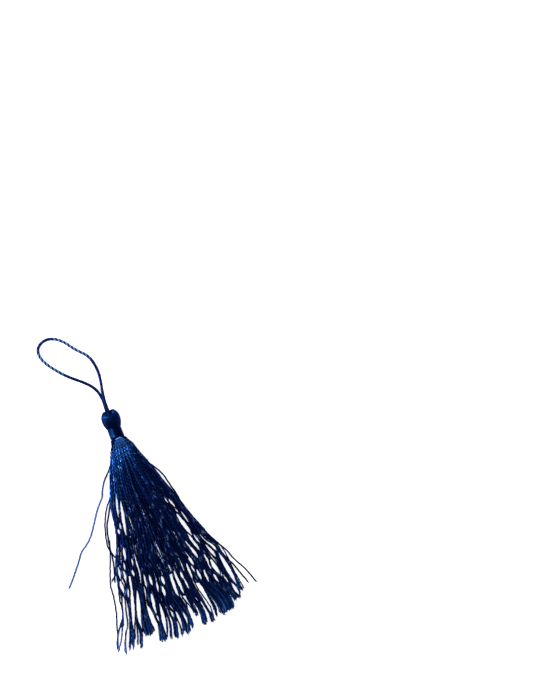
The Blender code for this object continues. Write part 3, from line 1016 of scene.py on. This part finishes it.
def root_lines(u, v, down):
    """Where a thread lies across, at each of the root's sections, and how high it is, this far down.

    U and v, from -1 to 1, say where it lies in the bundle: from left to right, and from below to above.
    """
    across = [row.middle + row.half_width * u * (1 - row.rounding * v * v) for row in ROOT_PROFILE]
    height = [row.height + row.half_height * v * (1 - row.rounding * u * u) for row in ROOT_PROFILE]
    return across, smooth_values([row.down for row in ROOT_PROFILE], height, down)


def fan_thread(chance, layer, column, step, tuft_bounds):
    """A thread of the fan: its share of the width, and how far down, across and up its points are."""
    row = LAYERS[layer]
    share = (column + (0.5 + STAGGER * layer) % 1 + chance.uniform(-JITTER, JITTER)) / row.threads
    place = 0.5 + (share - 0.5) * row.spread
    tuft_index = int(np.clip(np.searchsorted(tuft_bounds, place) - 1, 0, len(TUFTS) - 1))
    tuft = TUFTS[tuft_index]
    low, high = tuft_bounds[tuft_index : tuft_index + 2]
    within = (place - low) / (high - low) * 2 - 1
    ends = tuft.ends - TUFT_ROUNDING * within**2 - TUFT_RAGGEDNESS * chance.random() ** 2
    down = np.arange(ROOT_PROFILE[0].down, ends, step)

    u = ((column + 0.5) / row.threads) * 2 - 1
    v = ((2 * layer + 1 + ROOT_SWING * (2 * (column % 2) - 1)) / (2 * len(LAYERS))) * 2 - 1
    root_across, root_height = root_lines(u, v, down)
    edge_stops = [edge.down for edge in SKIRT_EDGES]
    fan_across = [mix(edge.left, edge.right, place) for edge in SKIRT_EDGES]
    stops = [section.down for section in ROOT_PROFILE] + edge_stops
    across = smooth_values(stops, root_across + fan_across, down)
    lean = np.clip(np.gradient(across, down), -LEAN_LIMIT, LEAN_LIMIT)

    loose = eased(down, LOOSENING)
    width = smooth_values(edge_stops, [edge.right - edge.left for edge in SKIRT_EDGES], down)
    even_place = EVEN_WIDTH * (place - 0.5)
    lock = LOCKS[layer * len(LOCKS) // len(LAYERS)]
    across = across + loose * width / EVEN_WIDTH * drift(DRIFT, even_place, down)
    across = across + loose * wave(chance, down, ACROSS_WANDER)
    across = across + eased(down, LOCKING) * drift([lock], even_place, down)
    gathered = tuft.across + tuft.half_width * within - lean * (ends - down)
    across = mix(across, gathered, eased(down, GATHERING))

    lowest = layer * LAYER_RISE + THREAD_HALF_WIDTH_AT_HEM
    height = mix(root_height, lowest, eased(down, SETTLING))
    height = height + loose * np.abs(wave(chance, down, HEIGHT_WANDER))
    return place, down, across, height


def part_floss(chance, down, across):
    """Pushes a thread aside where the floss is parted, to the side on which it mostly lies.

    The first round moves it softly with its neighbours, and the second keeps it clear of each opening.
    """
    crosses = chance.random(len(PARTINGS)) < CROSSING_SHARE
    for softly in (True, False):
        for parting, over in zip(PARTINGS, crosses):
            share = (down - parting.from_down) / (parting.to_down - parting.from_down)
            inner = (share + PARTING_EASE) / (1 + 2 * PARTING_EASE)
            inside = (inner > 0) & (inner < 1)
            if over or not inside.any():
                continue
            away = across - mix(parting.from_across, parting.to_across, share)
            way = 1.0 if away[inside].mean() > 0 else -1.0
            reach = parting.width / 2 + PARTING_ROOM
            lens = np.sin(math.pi * np.clip(inner, 0, 1)) ** PARTING_BLUNTNESS
            if softly:
                clear = np.maximum(way * away, 0)
                made_way = reach * np.exp(-clear / (PARTING_REACH * reach))
                push = lens * (made_way + np.maximum(-way * away, 0))
            else:
                push = np.maximum(reach * lens - way * away, 0) * inside
            across = across + way * push
    return across


def thread_shade(chance, layer, place, down, across):
    """A thread's tone and painted glint share: painted light where the floss swells out of the binding,
    painted shade beside it, with painted glints.
    """
    own = chance.choice(OWN_TONES, p=OWN_TONE_LIKELIHOODS)
    # Painted light at the root, on the upper layers.
    on_top = eased(layer, LIT_LAYERS)
    swell = bell(down, ROOT_SWELL) + ROOT_TOP_SHARE * bell(down, ROOT_TOP)
    root = on_top * bell(place, ROOT_PLACE) * chance.uniform(*ROOT_LIGHT_TONES) * swell
    upper = UPPER_PAINTED_LIGHT * chance.random() ** 2 * bell(down, UPPER_PART)
    streak = on_top * bell(place, STREAK_PLACE) * chance.random() * STREAK_PAINTED_LIGHT * bell(down, STREAK_PART)
    tip = (TIP_PAINTED_LIGHT + TIP_SPREAD * chance.random()) * eased(down - down[-1], TIP)
    crossings = np.sin(math.tau * (down / BEAD_LENGTH + chance.random()))
    beads = on_top * BEAD_HIGHLIGHT_TONE * crossings * bell(down, BEADS)
    # Painted glints.
    glint = eased(wave(chance, down, GLINT_WANDER), GLINT_CREST)

    # Painted shade beside the lit wedge.
    past_wedge = np.abs(across - WEDGE_MIDDLE) - WEDGE_HALF_WIDTH - WEDGE_WIDENING * down
    painted_shade_beside = eased(past_wedge, WEDGE_EDGE)
    tone = own + (root + streak + beads) * (1 - painted_shade_beside) - BESIDE_PAINTED_SHADE * painted_shade_beside
    tone = tone + upper + np.maximum(tip, GLINT_TONE * glint)
    pale = GLINT_PALE * glint * eased(down, PALING)
    return np.stack((np.clip(tone, 0, BRIGHTEST), pale), axis=1)


def fray(bundle, chance, path, tone):
    """The cut end of a thread, opened into its fibres."""
    ahead, side, up = (line[-1] for line in frame_along(path))
    along = np.linspace(0, 1, FRAY_STEPS)[:, None]
    section = (FRAY_HALF_WIDTH, FRAY_FLATNESS * FRAY_HALF_WIDTH)
    for _ in range(FRAY_FIBRES):
        length = chance.uniform(*FRAY_LENGTHS)
        out = chance.uniform(-FRAY_OUT, FRAY_OUT)
        lift = chance.uniform(*FRAY_LIFTS)
        start = path[FRAY_FROM] + side * chance.uniform(-FRAY_START, FRAY_START)
        points = start + length * (along * ahead + along**FRAY_CURVE * (out * side + lift * up))
        points[:, 2] = np.maximum(points[:, 2], FRAY_HALF_WIDTH)
        bundle.add_tube(points, *section, np.zeros(FRAY_STEPS), FRAY_SIDES, tone)


def add_thread(bundle, chance, path, reached, wide, thin, shade, sides, lay, groove=0.0):
    """A crinkled, twisted thread with a frayed end."""
    crinkle = CRINKLE_SIZE * eased(reached, CRINKLING)
    path = path.copy()
    path[:, 0] += CRINKLE_SHARE_ACROSS * crinkle * wave(chance, reached, CRINKLE_ACROSS)
    path[:, 2] += crinkle * np.abs(wave(chance, reached, CRINKLE_UP))
    turns = math.tau * (reached / lay + chance.random())
    bundle.add_tube(path, wide, thin, turns, sides, shade[:, 0], PLIES, groove, pale=shade[:, 1])
    fray(bundle, chance, path, shade[-1, 0])


def plain_thread(bundle, chance, path, down, shade):
    full = eased(down, THREAD_FILLING)
    wide = mix(THREAD_HALF_WIDTH_AT_ROOT, THREAD_HALF_WIDTH_AT_HEM, full)
    thin = wide * mix(THREAD_FLATNESS_AT_ROOT, THREAD_FLATNESS_AT_HEM, full)
    add_thread(bundle, chance, path, down, wide, thin, shade, THREAD_SIDES, THREAD_LAY)


def plied_thread(bundle, chance, path, down, shade):
    """Two plies, which open towards the hem."""
    opened = eased(down, PLIED_OPENING)
    wide = mix(PLIED_HALF_WIDTH, THREAD_HALF_WIDTH_AT_HEM, opened)
    wide = wide * mix(PLIED_SHARE_AT_ROOT, 1, eased(down, PLIED_FILLING))
    thin = PLIED_FLATNESS * wide
    groove = PLIED_GROOVE * (1 - opened)
    add_thread(bundle, chance, path, down, wide, thin, shade, PLIED_SIDES, PLIED_LAY, groove)


def build_skirt(finishes):
    """The fan, from the table up, with two layers in a piece."""
    chance = np.random.default_rng(SKIRT_SEED)
    widths = np.array([tuft.half_width for tuft in TUFTS])
    tuft_bounds = np.concatenate(([0.0], np.cumsum(widths) / widths.sum()))
    for first in range(0, len(LAYERS), 2):
        bundle = Bundle()
        for layer in (first, first + 1):
            plied = layer >= PLIED_FROM
            step = PLIED_STEP if plied else THREAD_STEP
            make_thread = plied_thread if plied else plain_thread
            for column in range(LAYERS[layer].threads):
                place, down, across, height = fan_thread(chance, layer, column, step, tuft_bounds)
                across = part_floss(chance, down, across)
                path = np.stack((across, SKIRT_TOP - down, height), axis=1)
                shade = thread_shade(chance, layer, place, down, across)
                make_thread(bundle, chance, path, down, shade)
        bundle.stand_for("skirt", f"skirt_floss_{first // 2 + 1}", "skirt_floss", finishes)


def build_strays(finishes):
    """The threads that have left the fan, on the table where they aren't held up."""
    chance = np.random.default_rng(STRAYS_SEED)
    bundle = Bundle()
    for stray in STRAYS:
        path, length = smooth_route(stray.route, PLIED_STEP)
        reached = np.linspace(0, length, len(path))
        lit = eased(reached, STRAY_LIGHTING)
        tone = mix(STRAY_TONE_AT_ROOT, stray.tone, lit) + wave(chance, reached, STRAY_TONE_WANDER)
        shade = np.stack((tone, stray.pale * lit), axis=1)
        width = stray.half_width
        path[:, 2] = np.maximum(path[:, 2], width)
        add_thread(bundle, chance, path, reached, width, width, shade, PLIED_SIDES, THREAD_LAY)
    bundle.stand_for("skirt", "skirt_strays", "skirt_floss", finishes)


# ---------------------------------------------------------------- the surroundings


def build_floor():
    made = bpy.data.materials.new("table_white")
    made.use_nodes = True
    shader = made.node_tree.nodes["Principled BSDF"]
    shader.inputs["Base Color"].default_value = TABLE_COLOUR
    shader.inputs["Roughness"].default_value = TABLE_ROUGHNESS
    shader.inputs["Specular IOR Level"].default_value = 0.0
    shader.inputs["Emission Color"].default_value = WHITE
    shader.inputs["Emission Strength"].default_value = TABLE_GLOW
    mesh = bpy.data.meshes.new("table")
    reach = TABLE_REACH * MM
    drop = -TABLE_DROP * MM
    corners = [(-reach, -reach, drop), (reach, -reach, drop), (reach, reach, drop), (-reach, reach, drop)]
    mesh.from_pydata(corners, [], [(0, 1, 2, 3)])
    mesh.materials.append(made)
    table = bpy.data.objects.new("table", mesh)
    bpy.context.scene.collection.objects.link(table)


def build_light():
    world = bpy.data.worlds.new("studio")
    world.use_nodes = True
    world.node_tree.nodes["Background"].inputs["Color"].default_value = WHITE
    world.node_tree.nodes["Background"].inputs["Strength"].default_value = SKY_STRENGTH
    bpy.context.scene.world = world
    for row in LAMPS:
        lamp = bpy.data.lights.new(row.name, "AREA")
        lamp.energy = row.power
        lamp.size = row.size
        place = bpy.data.objects.new(row.name, lamp)
        bpy.context.scene.collection.objects.link(place)
        turn = math.radians(row.azimuth) - PICTURE_TURN
        rise = math.radians(row.elevation)
        level = math.cos(rise)
        toward = np.array((math.sin(turn) * level, math.cos(turn) * level, math.sin(rise)))
        place.location = toward * row.distance + LAMPS_FACE
        place.rotation_euler = (math.pi / 2 - rise, 0, math.pi - turn)


def build_camera():
    lens = bpy.data.cameras.new("camera")
    lens.lens = LENS
    lens.sensor_width = SENSOR
    lens.clip_start = NEAREST * MM
    lens.clip_end = FARTHEST * MM
    camera = bpy.data.objects.new("camera", lens)
    bpy.context.scene.collection.objects.link(camera)
    distance = PICTURE_HEIGHT * LENS / SENSOR
    camera.location = (PICTURE_MIDDLE[0] * MM, PICTURE_MIDDLE[1] * MM, distance * MM)
    camera.rotation_euler = (0, 0, PICTURE_TURN)
    bpy.context.scene.camera = camera


# ---------------------------------------------------------------- the whole


def main():
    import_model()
    build_camera()
    build_light()
    build_floor()
    bpy.context.scene.view_settings.view_transform = "Standard"

    finishes = {slot: make_finish(slot) for slot in FINISHES}
    build_loop(finishes)
    build_head(finishes)
    build_binding(finishes)
    build_skirt(finishes)
    build_strays(finishes)


main()
